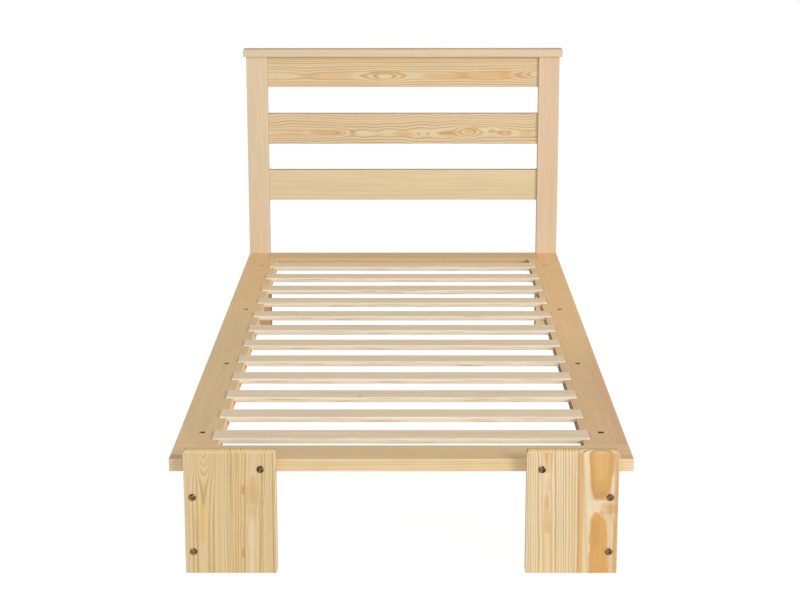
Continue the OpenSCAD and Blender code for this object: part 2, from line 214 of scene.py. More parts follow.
class Wiring:
    """Places nodes in one tree and joins their sockets."""

    def __init__(self, tree):
        self.tree = tree
        self.count = 0

    def add(self, kind, inputs=None, **settings):
        """A new node, with its settings made first and its inputs joined or set after them."""
        node = self.tree.nodes.new(kind)
        node.location = (190 * (self.count % 14), -240 * (self.count // 14))
        self.count += 1
        for name, value in settings.items():
            setattr(node, name, value)
        for key, value in (inputs or {}).items():
            self.feed(node.inputs[key], value)
        return node

    def feed(self, socket, value):
        """Joins a node or one of its outputs to the socket, or sets a constant."""
        if isinstance(value, bpy.types.Node):
            value = first_output(value)
        elif isinstance(value, Value):
            value = value.socket
        if isinstance(value, bpy.types.NodeSocket):
            self.tree.links.new(value, socket)
        else:
            socket.default_value = value

    def value(self, kind, inputs=None, output=None, **settings):
        """One output of a new node: the one given, or the first in use."""
        node = self.add(kind, inputs, **settings)
        return Value(self, first_output(node) if output is None else node.outputs[output])

    def math(self, operation, *values):
        return self.value("ShaderNodeMath", dict(enumerate(values)), operation=operation)

    def vector(self, operation, a, b):
        return self.value("ShaderNodeVectorMath", {0: a, 1: b}, "Vector", operation=operation)

    def split(self, vector):
        return [Value(self, part) for part in self.add("ShaderNodeSeparateXYZ", {0: vector}).outputs]

    def join(self, x, y, z):
        return self.value("ShaderNodeCombineXYZ", {0: x, 1: y, 2: z})

    def step(self, value, low, high, out_low=0.0, out_high=1.0):
        """A smooth step from out_low at low to out_high at high."""
        inputs = {"Value": value, "From Min": low, "From Max": high, "To Min": out_low, "To Max": out_high}
        return self.value("ShaderNodeMapRange", inputs, "Result", interpolation_type="SMOOTHSTEP")

    def noise(self, vector, detail=1.0, roughness=0.5):
        inputs = {"Vector": vector, "Scale": 1.0, "Detail": detail, "Roughness": roughness}
        return self.value("ShaderNodeTexNoise", inputs, "Fac")

    def mix(self, factor, a, b, blend="MIX"):
        """Colour a turning into colour b. A mix node's colours are its inputs 6 and 7 and its output 2."""
        return self.value("ShaderNodeMix", {0: factor, 6: a, 7: b}, 2, data_type="RGBA", blend_type=blend)

    def give(self, outputs):
        """Ends a node group with named outputs. Gives its tree."""
        for label, value in outputs.items():
            self.tree.interface.new_socket(label, in_out="OUTPUT", socket_type=value.socket.bl_idname)
        self.add("NodeGroupOutput", outputs)
        return self.tree


def socket_kind(value):
    """The kind of socket for a default value, or for the bare name of a kind."""
    if isinstance(value, str):
        return f"NodeSocket{value}"
    if isinstance(value, tuple):
        return "NodeSocketColor" if len(value) == 4 else "NodeSocketVector"
    return "NodeSocketInt" if isinstance(value, int) else "NodeSocketFloat"


def new_group(name, inputs, kind="ShaderNodeTree"):
    """The wiring of a new node group and what comes in. Each input has a default or a kind of socket."""
    tree = bpy.data.node_groups.new(name, kind)
    for label, value in inputs.items():
        socket = tree.interface.new_socket(label, in_out="INPUT", socket_type=socket_kind(value))
        if not isinstance(value, str):
            socket.default_value = value
    w = Wiring(tree)
    source = w.add("NodeGroupInput")
    return w, {label: Value(w, source.outputs[label]) for label in inputs}


# Effects that the woods share


def make_ring_group():
    """Growth rings: distance from a pith line that leans and wavers along the board."""
    w, have = new_group("Growth Rings", {
        "Vector": "Vector", "Pith Across": 0.0, "Pith Depth": -0.06, "Lean Across": 0.0, "Lean Depth": 0.0,
        "Ring Width": 0.004, "Ring Offset": 0.0, "Waviness": 0.002, "Wave Length": 0.4, "Figure": 0.0,
        "Seed": 0.0,
    })
    along, across, depth = w.split(have["Vector"])
    seed = have["Seed"]
    shift = w.join(seed * 7.31, seed * 3.17, seed * 5.77)
    slow_place = w.join(along / have["Wave Length"], across * 9.0, depth * 9.0)
    fine_place = w.join(along * 11.0, across * 60.0, depth * 60.0)
    slow, fine = [w.noise(w.vector("ADD", place, shift)) - 0.5 for place in (slow_place, fine_place)]
    a = across - (have["Pith Across"] + have["Lean Across"] * along)
    b = depth - (have["Pith Depth"] + have["Lean Depth"] * along)
    radius = w.math("SQRT", a * a + b * b)
    wander = have["Waviness"] * (slow * 4.0 + fine * 0.35)
    even = (radius + wander + have["Figure"]) / have["Ring Width"] + have["Ring Offset"]
    drift = {"W": even * 0.37 + seed * 11.0, "Scale": 1.0, "Detail": 1.0}
    uneven = w.value("ShaderNodeTexNoise", drift, "Fac", noise_dimensions="1D")
    phase = even + uneven * 0.7
    part = w.math("FRACT", phase)
    late = w.step(part, 0.38, 0.92) * w.step(part, 0.95, 1.0, 1.0, 0.0)
    number = w.math("FLOOR", phase) + seed * 17.0
    strength = w.value("ShaderNodeTexWhiteNoise", {"W": number}, "Value", noise_dimensions="1D")
    return w.give({"Late Wood": late * (strength * 0.6 + 0.4)})


def make_swirl_group():
    """A swell of the rings round one place of the face, as over a covered knot."""
    w, have = new_group("Ring Swirl", {
        "Vector": "Vector", "Along": 0.0, "Across": 0.0, "Length": 0.05, "Width": 0.02, "Height": 0.004,
        "Other Swirls": 0.0,
    })
    along, across, _depth = w.split(have["Vector"])
    a = (along - have["Along"]) / have["Length"]
    b = (across - have["Across"]) / have["Width"]
    swell = w.math("EXPONENT", (a * a + b * b) * -1.0)
    return w.give({"Figure": swell * have["Height"] + have["Other Swirls"]})


def make_edge_group():
    """Closeness to a board's edges, from the distances to its faces, and the share of end grain."""
    w, have = new_group("Board Edges", {
        "Vector": "Vector", "End Facing": 0.0, "Half Size": (0.4, 0.04, 0.01), "Wear And Highlight Width": 0.003,
    })
    halves, places = w.split(have["Half Size"]), w.split(have["Vector"])
    gaps = [half - w.math("ABSOLUTE", place) for half, place in zip(halves, places)]
    low = w.math("MINIMUM", gaps[0], gaps[1])
    high = w.math("MAXIMUM", gaps[0], gaps[1])
    second = w.math("MAXIMUM", low, w.math("MINIMUM", high, gaps[2]))
    patchy = w.noise(w.vector("MULTIPLY", have["Vector"], (38.0, 38.0, 38.0)), 2.0)
    reach = have["Wear And Highlight Width"] * (patchy + 0.5)
    return w.give({
        "Edge": w.step(second / reach, 0.0, 1.0, 1.0, 0.0),
        "End Grain": w.step(have["End Facing"], 0.35, 0.85),
    })


def make_zone_group():
    """A zone of other colour in the wood, longer than wide, with a ragged rim."""
    w, have = new_group("Colour Zone", {
        "Vector": "Vector", "Along": 0.0, "Across": 0.0, "Length": 0.05, "Width": 0.01, "Lean": 0.0,
        "Taper": 0.0, "Blur": 0.3, "Ragged": 0.3, "Strength": 1.0, "End Grain": 0.0, "Seed": 0.0,
    })
    along, across, depth = w.split(have["Vector"])
    run = along - have["Along"]
    a = run / have["Length"]
    half = have["Width"] * w.math("MAXIMUM", a * have["Taper"] + 1.0, 0.02)
    b = (across - (have["Across"] + have["Lean"] * run)) / half
    square = a * a
    place = w.join(along * 16.0 + have["Seed"], across * 90.0, depth * 30.0)
    rough = (w.noise(place, 2.0) - 0.5) * have["Ragged"]
    reach = w.math("SQRT", square * square * square + b * b) + rough + rough
    inside = w.step(reach, 1.0 - have["Blur"], 1.0 + have["Blur"], 1.0, 0.0)
    return w.give({"Share": inside * have["Strength"] * (1.0 - have["End Grain"] * 0.85)})


def make_pine_group():
    """Colour, roughness and height of planed and lacquered pine."""
    w, have = new_group("Planed Pine", {
        "Vector": "Vector", "Late Wood": 0.0, "Edge": 0.0, "End Grain": 0.0, "Contrast": 0.6, "Seed": 0.0,
        "Wood Colour": (0.8, 0.7, 0.5, 1), "Late Colour": (0.5, 0.3, 0.1, 1),
    })
    along, across, depth = w.split(have["Vector"])
    seed, edge, end = have["Seed"], have["Edge"], have["End Grain"]
    shift = w.join(seed * 4.9, seed * 8.3, seed * 2.1)

    def stretched(lengthwise, crosswise, detail):
        place = w.join(along * lengthwise, across * crosswise, depth * crosswise)
        return w.noise(w.vector("ADD", place, shift), detail, 0.6)

    cloud = stretched(3.2, 16.0, 2.0)
    fibre = stretched(26.0, 900.0, 3.0)
    streak = stretched(5.0, 210.0, 2.0)
    ring = have["Late Wood"] * (have["Contrast"] + end * 0.75)
    wood = w.mix(ring, have["Wood Colour"], have["Late Colour"])
    tone = (fibre - 0.5) * 0.10 + (streak - 0.5) * 0.22 + (cloud - 0.5) * 0.12
    toned = w.value("ShaderNodeVectorMath", {0: wood, "Scale": tone + 1.0}, "Vector", operation="SCALE")
    # Painted light: end grain is made paler, so that the top ends of the upright planks show about as bright
    # as their lit fronts.
    ends = w.mix(end, toned, (1.28, 1.25, 1.18, 1), "MULTIPLY")
    # Paler edges: partly sanding wear, partly painted highlight where the rounded edges catch the light.
    return w.give({
        "Color": w.mix(edge * 0.36, ends, (0.97, 0.91, 0.82, 1)),
        "Roughness": 0.54 + ring * -0.08 + (fibre - 0.5) * 0.14 + edge * 0.08 + end * 0.12,
        "Height": ring * 0.5 + fibre * 0.5 + end * fibre * 0.8,
    })


def make_knot_group():
    """Scattered pin knots that run through a board, from cells stretched along it."""
    w, have = new_group("Pin Knots", {
        "Vector": "Vector", "Share": 0.3, "Size": 0.05, "Seed": 0.0,
    })
    along, across, depth = w.split(have["Vector"])
    seed, size = have["Seed"], have["Size"]
    place = w.join(along * 5.5 + seed * 9.7, across * 16.0 + seed * 3.3, depth * 5.0)
    cells = w.add("ShaderNodeTexVoronoi", {"Vector": place, "Scale": 1.0, "Randomness": 0.9}).outputs
    chosen = w.math("LESS_THAN", w.split(cells["Color"])[0], have["Share"])
    return w.give({
        "Knot": chosen * w.step(cells["Distance"], size * 0.55, size, 1.0, 0.0),
        "Figure": chosen * w.step(cells["Distance"], 0.0, size * 5.0, 0.006, 0.0),
    })


GROUPS = {
    "Growth Rings": make_ring_group,
    "Ring Swirl": make_swirl_group,
    "Board Edges": make_edge_group,
    "Colour Zone": make_zone_group,
    "Planed Pine": make_pine_group,
    "Pin Knots": make_knot_group,
}


def use_group(w, name, inputs):
    """A node of the named group, which is made at its first use. Gives the node's outputs by name."""
    tree = bpy.data.node_groups.get(name) or GROUPS[name]()
    node = w.add("ShaderNodeGroup", inputs, node_tree=tree, label=name)
    return {output.name: Value(w, output) for output in node.outputs}


# Boards

AXES = {
    "+X": (1.0, 0.0, 0.0), "+Y": (0.0, 1.0, 0.0), "+Z": (0.0, 0.0, 1.0),
    "-X": (-1.0, 0.0, 0.0), "-Y": (0.0, -1.0, 0.0), "-Z": (0.0, 0.0, -1.0),
}


def board_vector(w, node, grain, face):
    """Object coordinates moved to a board's middle and turned to its grain, its half size, and how far the
    surface faces along the grain."""
    along, out = Vector(AXES[grain]), Vector(AXES[face])
    turn = Matrix((along, out.cross(along), out))
    surface = w.add("ShaderNodeTexCoord").outputs
    place = {"Rotation": turn.to_euler("XYZ"), "Location": -(turn @ box_middle(node))}
    vector = w.value("ShaderNodeMapping", {"Vector": surface["Object"], **place}, vector_type="POINT")
    half = Vector([abs(part) for part in turn @ (box_size(node) / 2)])
    directions = {0: surface["Normal"], 1: along}
    facing = w.value("ShaderNodeVectorMath", directions, "Value", operation="DOT_PRODUCT")
    return vector, half, w.math("ABSOLUTE", facing)


@dataclass
class Wood:
    """How one board or stave was cut from the log, and how strongly its figure shows.

    pith places the pith line across and out of the board, and lean and tilt turn it those two ways. Each
    swirl is (along, across, length, width, height). Each zone is (colour, along, across, length, width,
    strength), and blur, lean and taper where they aren't the usual ones. line is the late wood's colour.
    """

    seed: float
    tint: str
    pith: tuple
    lean: float = 0.0
    tilt: float = 0.0
    ring: float = 0.004
    offset: float = 0.2
    wave: float = 0.003
    wave_length: float = 0.5
    contrast: float = 0.45
    swirls: tuple = ()
    zones: tuple = ()
    ragged: float = 0.25
    line: str = "late"


def zone_inputs(along, across, length, width, strength, blur=0.7, lean=0.0, taper=0.0):
    """What a colour zone is given: its middle, half length, half width, how strongly it shows, the softness
    of its rim, its turn and how much it widens."""
    return {"Along": along, "Across": across, "Length": length, "Width": width, "Strength": strength,
            "Blur": blur, "Lean": lean, "Taper": taper}


def wood_nodes(w, wood, vector, half, end):
    """The ring, zone, edge and pine groups of one board or stave. Gives the pine group's outputs."""
    settings = bpy.context.scene.pine_bed_wood
    figure = 0.0
    for swirl in wood.swirls:
        shape = dict(zip(("Along", "Across", "Length", "Width", "Height"), swirl))
        figure = use_group(w, "Ring Swirl", {"Vector": vector, **shape, "Other Swirls": figure})["Figure"]
    start = math.hypot(wood.pith[0], half.z - wood.pith[1])
    rings = use_group(w, "Growth Rings", {
        "Vector": vector, "Pith Across": wood.pith[0], "Pith Depth": wood.pith[1], "Lean Across": wood.lean,
        "Lean Depth": wood.tilt, "Ring Width": wood.ring, "Ring Offset": wood.offset - start / wood.ring,
        "Waviness": wood.wave, "Wave Length": wood.wave_length, "Figure": figure, "Seed": wood.seed,
    })
    edges = use_group(w, "Board Edges", {"Vector": vector, "End Facing": end, "Half Size": half})
    colour = getattr(settings, wood.tint)[:]
    for number, (name, *figures) in enumerate(wood.zones):
        zone = use_group(w, "Colour Zone", {
            "Vector": vector, **zone_inputs(*figures), "Ragged": wood.ragged,
            "End Grain": 0.0 if name == "painted_shade" else edges["End Grain"], "Seed": wood.seed + 1.7 * number,
        })
        colour = w.mix(zone["Share"], colour, getattr(settings, name)[:])
    return use_group(w, "Planed Pine", {
        "Vector": vector, **rings, **edges, "Contrast": wood.contrast, "Seed": wood.seed,
        "Wood Colour": colour, "Late Colour": getattr(settings, wood.line)[:],
    })


def empty_material(name):
    """A new material and its wiring."""
    material = bpy.data.materials.new(name)
    material.use_nodes = True
    material.node_tree.nodes.clear()
    return material, Wiring(material.node_tree)


def add_shader(w, colour, roughness, height, bump, depth, levels):
    """The shader of a material. bump is the strength of its relief, and depth is what full height means."""
    normal = w.add("ShaderNodeBump", {"Height": height, "Strength": bump, "Distance": depth})
    looks = {"Base Color": colour, "Roughness": roughness, "Normal": normal, **levels}
    w.add("ShaderNodeOutputMaterial", {"Surface": w.add("ShaderNodeBsdfPrincipled", looks)})


def add_lacquered_pine(w, colour, roughness, height):
    """A thin satin lacquer over the wood."""
    add_shader(w, colour, roughness, height, 0.35, 0.0004, {"Specular IOR Level": 0.05})


def board_material(node, grain, face, wood):
    material, w = empty_material(f"{node}_pine")
    pine = wood_nodes(w, wood, *board_vector(w, node, grain, face))
    add_lacquered_pine(w, pine["Color"], pine["Roughness"], pine["Height"])
    return material


def stave_material(node, grain, face, seam, left, right):
    """Two staves glued edge to edge, with the glue line at seam across the board, and painted shade along the
    back edge of each end.
    """
    material, w = empty_material(f"{node}_pine")
    vector, half, end = board_vector(w, node, grain, face)
    a = wood_nodes(w, left, vector, half, end)
    b = wood_nodes(w, right, vector, half, end)
    _along, across, depth = w.split(vector)
    side = w.math("GREATER_THAN", across, seam)
    line = w.step(w.math("ABSOLUTE", across - seam), 0.0002, 0.0009, 0.55, 0.0)
    colour = w.mix(side, a["Color"], b["Color"])
    colour = w.mix(line, colour, bpy.context.scene.pine_bed_wood.glue[:])
    # Painted shade: the end grain darkens near the back face, for the dark line behind the top of each plank.
    back_end_shade = w.step(depth, 0.0066 - half.z, 0.0092 - half.z, 1.0, 0.0) * w.step(end, 0.05, 0.3)
    colour = w.mix(back_end_shade, colour, (0.52, 0.43, 0.31, 1), "MULTIPLY")
    roughness, height = [a[label] + side * (b[label] - a[label]) for label in ("Roughness", "Height")]
    add_lacquered_pine(w, colour, roughness, height - line * 0.6)
    return material


def new_object(name, data):
    """A new object that is part of the scene."""
    made = bpy.data.objects.new(name, data)
    bpy.context.scene.collection.objects.link(made)
    return made


def add_piece(name, mesh, material, nodes):
    """A visible piece that takes the place of frame nodes."""
    mesh.materials.clear()
    mesh.materials.append(material)
    piece = new_object(name, mesh)
    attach(piece, BODY)
    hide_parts(*nodes)
    return piece


def soften(piece):
    """Rounds the sharp edges as sanding leaves them, and keeps the flat faces flat."""
    bevel = piece.modifiers.new("Soft edges", "BEVEL")
    bevel.width = bpy.context.scene.pine_bed_wood.edge_radius
    bevel.segments = 2
    bevel.limit_method = "ANGLE"
    bevel.angle_limit = math.radians(40)
    bevel.harden_normals = True
    piece.modifiers.new("Flat faces", "WEIGHTED_NORMAL").keep_sharp = False


def welded(node):
    """A frame node's mesh with its doubled corners merged."""
    work = bmesh.new()
    work.from_mesh(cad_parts[node].data)
    bmesh.ops.remove_doubles(work, verts=work.verts[:], dist=WELD)
    return work


def soft_board(node, material):
    """A board of the frame as one clean mesh with soft edges."""
    work = welded(node)
    bmesh.ops.dissolve_limit(work, angle_limit=math.radians(0.5), verts=work.verts[:], edges=work.edges[:])
    for face in work.faces:
        face.smooth = True
    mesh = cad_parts[node].data.copy()
    work.to_mesh(mesh)
    work.free()
    soften(add_piece(f"{node}_board", mesh, material, [node]))


def soft_boards(boards):
    """A soft board for each frame node of a table, in the wood that the table gives it."""
    for node, (grain, face, wood) in boards.items():
        soft_board(node, board_material(node, grain, face, wood))


def screw_hole_shade(across):
    """Painted shade in and round the four counterbores of a side rail, fainter towards the head."""
    return [("painted_shade", along, across, 0.0062, 0.006, strength, 0.06)
            for along, strength in ((0.871, 1.0), (0.321, 0.9), (-0.229, 0.75), (-0.779, 0.35))]


# The wood of each board: grain, outward face and cut. A plank has a glue line's place and two staves.

BASE_BOARDS = {
    "foot_rail": ("+X", "+Z", Wood(
        1.3, "rails", pith=(-0.16, -0.12), lean=0.004, ring=0.0046, wave=0.002, contrast=0.34,
        zones=(
            ("amber_and_shade", 0, 0.003, 2, 0.048, 0.1, 0.04), ("late", 0, 0.0463, 2, 0.0012, 0.4, 0.3),
            # Painted shade: the zones at along -0.462 and 0.462 darken the top near both ends, beside the
            # planks.
            ("late", -0.462, -0.03, 0.018, 0.0135, 0.35, 0.15),
            # Painted light: the two thin zones at across -0.0463 lighten the front top edge at both ends,
            # against the planks' shadow.
            ("cream_and_light", -0.455, -0.0463, 0.022, 0.0008, 0.5, 0.2),
            ("cream_and_light", 0.455, -0.0463, 0.022, 0.0008, 0.5, 0.2),
            ("late", 0.462, -0.03, 0.018, 0.0135, 0.35, 0.15),
        ),
    )),
    "side_rail_left": ("-Y", "+Z", Wood(
        2.1, "rails", pith=(0.13, -0.06), lean=0.012, offset=0.1, wave_length=0.8, contrast=0.26,
        zones=(
            ("amber_and_shade", 0, 0, 2, 0.2, 0.12, 0.9), ("honey_and_light", -0.95, 0, 0.8, 0.3, 0.5, 0.6),
            # Painted light: the zone at across 0.0463 brightens the rail's inner face, which faces the key
            # light.
            ("honey_and_light", 0, 0.0463, 2, 0.0006, 0.9, 0.2), ("late", 0.959, 0, 0.002, 0.06, 0.5, 0.3),
            *screw_hole_shade(0.003),
        ),
    )),
    "side_rail_right": ("-Y", "+Z", Wood(
        3.6, "rails", pith=(-0.15, -0.05), lean=-0.015, ring=0.005, offset=0.4, wave_length=0.8,
        contrast=0.18,
        swirls=((0.871, -0.003, 0.045, 0.02, 0.014),),
        zones=(
            ("rosy", 0.25, 0.036, 0.95, 0.014, 0.45, 0.9), ("amber_and_shade", 0, 0, 2, 0.2, 0.24, 0.9),
            ("honey_and_light", -0.95, 0, 1.15, 0.3, 0.75, 0.5), ("rosy", 0.85, 0, 0.45, 0.3, 0.26, 0.9),
            # Painted shade: the two zones at across -0.0463 darken the rail's inner face, which is turned
            # away from the key light.
            ("late", 0.959, 0, 0.002, 0.06, 0.5, 0.3), ("late", 0, -0.0463, 2, 0.0006, 0.9, 0.2),
            ("painted_shade", 0, -0.0463, 2, 0.0006, 0.45, 0.2), *screw_hole_shade(-0.003),
        ),
    )),
    "head_cross_rail": ("+X", "+Z", Wood(
        4.2, "rails", pith=(0.12, -0.08), lean=0.02, ring=0.0036, offset=0.3, wave_length=0.6, contrast=0.3,
        zones=(("amber_and_shade", 0, 0, 1, 0.2, 0.32, 0.9), ("late", 0, -0.0463, 2, 0.0008, 0.12, 0.2)),
    )),
    "side_beam_left": ("+Y", "-X", Wood(
        5.5, "rails", pith=(0.03, -0.07), lean=0.01, tilt=0.004, ring=0.0042, offset=0.5, wave=0.004,
        contrast=0.5,
    )),
    "side_beam_right": ("+Y", "+X", Wood(
        6.4, "rails", pith=(-0.02, -0.06), lean=0.008, tilt=-0.004, ring=0.0042, offset=0, wave=0.004,
        contrast=0.5,
    )),
    "foot_leg_left": ("+Z", "-X", Wood(7.7, "rails", pith=(0.08, -0.05), lean=0.03, wave_length=0.3)),
    "foot_leg_right": ("+Z", "+X", Wood(8.8, "rails", pith=(-0.07, -0.05), lean=0.03, wave_length=0.3)),
}

# Painted shade along the top edge and at both ends of each headboard slat, where its top face and its ends
# beside the posts fall in shade
SLAT_EDGE_SHADE = (
    ("late", 0, 0.0462, 2, 0.0008, 0.7, 0.2), ("knot", -0.408, 0, 0.0016, 0.2, 0.6, 0.3),
    ("knot", 0.408, 0, 0.0016, 0.2, 0.6, 0.3),
)

HEAD_BOARDS = {
    "headboard_slat_top": ("+X", "-Y", Wood(
        11.4, "panel", pith=(-0.011, -0.003), lean=0.002, ring=0.0056, offset=0.32, wave=0.0014,
        wave_length=0.3, contrast=0.95, ragged=0.5,
        swirls=(
            (-0.054, -0.016, 0.043, 0.02, -0.011), (0.41, 0, 0.045, 0.022, -0.012),
            (-0.294, -0.002, 0.04, 0.03, 0.0035), (0.177, -0.012, 0.03, 0.02, 0.0025),
            (0.316, -0.012, 0.02, 0.02, 0.002),
        ),
        zones=(
            ("amber_and_shade", -0.219, -0.011, 0.07, 0.012, 0.36, 0.7, 0, 0.3),
            ("amber_and_shade", 0.128, -0.012, 0.07, 0.009, 0.5, 0.7, 0, 0.3),
            ("amber_and_shade", 0.25, -0.01, 0.07, 0.013, 0.5, 0.7, 0, 0.2),
            ("amber_and_shade", 0.335, -0.01, 0.045, 0.009, 0.45), ("amber_and_shade", -0.054, -0.001, 0.044, 0.0045, 0.65, 0.6),
            ("amber_and_shade", -0.083, -0.012, 0.014, 0.006, 0.5, 0.7, -0.6),
            ("amber_and_shade", -0.022, -0.012, 0.014, 0.005, 0.5, 0.7, 0.7),
            ("cream_and_light", -0.052, -0.018, 0.022, 0.007, 0.5), *SLAT_EDGE_SHADE,
        ),
    )),
    "headboard_slat_middle": ("+X", "-Y", Wood(
        12.7, "panel", pith=(-0.013, -0.002), ring=0.007, offset=0.37, wave=0.006, wave_length=0.11,
        contrast=0.85, ragged=0.8,
        swirls=(
            (-0.42, -0.012, 0.1, 0.014, -0.014), (-0.24, -0.012, 0.09, 0.01, -0.01),
            (-0.154, -0.011, 0.02, 0.01, 0.006), (0.06, -0.015, 0.04, 0.012, 0.003),
            (0.2, -0.002, 0.035, 0.022, -0.013), (0.27, 0.006, 0.02, 0.016, -0.008),
            (0.31, -0.012, 0.02, 0.012, -0.007),
        ),
        zones=(
            ("amber_and_shade", -0.35, -0.014, 0.05, 0.006, 0.3, 0.7, 0, 0.3),
            ("amber_and_shade", -0.235, -0.012, 0.05, 0.006, 0.5, 0.7, 0, 0.3),
            ("cream_and_light", -0.115, -0.012, 0.035, 0.008, 0.6, 0.9), ("amber_and_shade", 0, -0.014, 0.03, 0.005, 0.5),
            ("late", 0.047, -0.015, 0.004, 0.003, 0.7, 0.4), ("late", 0.075, -0.015, 0.004, 0.003, 0.7, 0.4),
            ("late", -0.154, -0.011, 0.004, 0.003, 0.7, 0.4),
            ("amber_and_shade", 0.14, -0.014, 0.03, 0.007, 0.55, 0.7, 0, 0.4),
            ("amber_and_shade", 0.2075, -0.004, 0.02, 0.007, 0.55, 0.7, 0.2),
            ("amber_and_shade", 0.3086, -0.012, 0.022, 0.007, 0.55), ("amber_and_shade", 0.37, -0.014, 0.02, 0.006, 0.5),
            *SLAT_EDGE_SHADE,
        ),
    )),
    "headboard_slat_bottom": ("+X", "-Y", Wood(
        13.1, "panel", pith=(0.03, -0.1), lean=0.006, tilt=0.004, ring=0.0052, contrast=0.16,
        zones=SLAT_EDGE_SHADE,
    )),
    "head_post_left": ("-Z", "-Y", Wood(
        14.9, "posts", pith=(0.12, -0.05), lean=0.16, ring=0.0036, offset=0.1, wave=0.0024, wave_length=0.35,
        contrast=0.42,
        zones=(
            # The first zone makes the whole post paler. Painted shade: the zones at along 0.315 darken the
            # post below the rails, in the shade under the bed, most at its inner edge.
            ("cream_and_light", 0, 0, 2, 0.2, 0.3, 0.9), ("amber_and_shade", 0.315, 0, 0.11, 0.3, 0.6, 0.1),
            ("painted_shade", 0.315, 0.0315, 0.11, 0.003, 0.7, 0.3),
        ),
    )),
    "head_post_right": ("-Z", "-Y", Wood(
        15.2, "posts", pith=(-0.14, -0.03), lean=0.008, offset=0.1, wave=0.0014, wave_length=0.6,
        contrast=0.36,
        zones=(
            # Below the rails, at along 0.315, one zone makes the post paler and warmer, and the next lays
            # painted shade along its inner edge there.
            ("rosy", -0.2, 0, 0.3, 0.3, 0.22, 0.6), ("honey_and_light", 0.315, 0, 0.11, 0.3, 0.5, 0.1),
            ("painted_shade", 0.315, -0.0315, 0.11, 0.003, 0.7, 0.3),
        ),
    )),
    "headboard_cap": ("+X", "+Z", Wood(
        16.3, "posts", pith=(0.1, -0.1), lean=0.01, offset=0, contrast=0.24, ragged=0,
        # Painted shade: this zone darkens the cap's top face, which takes less light than its front.
        zones=(("late", 0, 0, 2, 0.0272, 0.4, 0.08),),
    )),
}

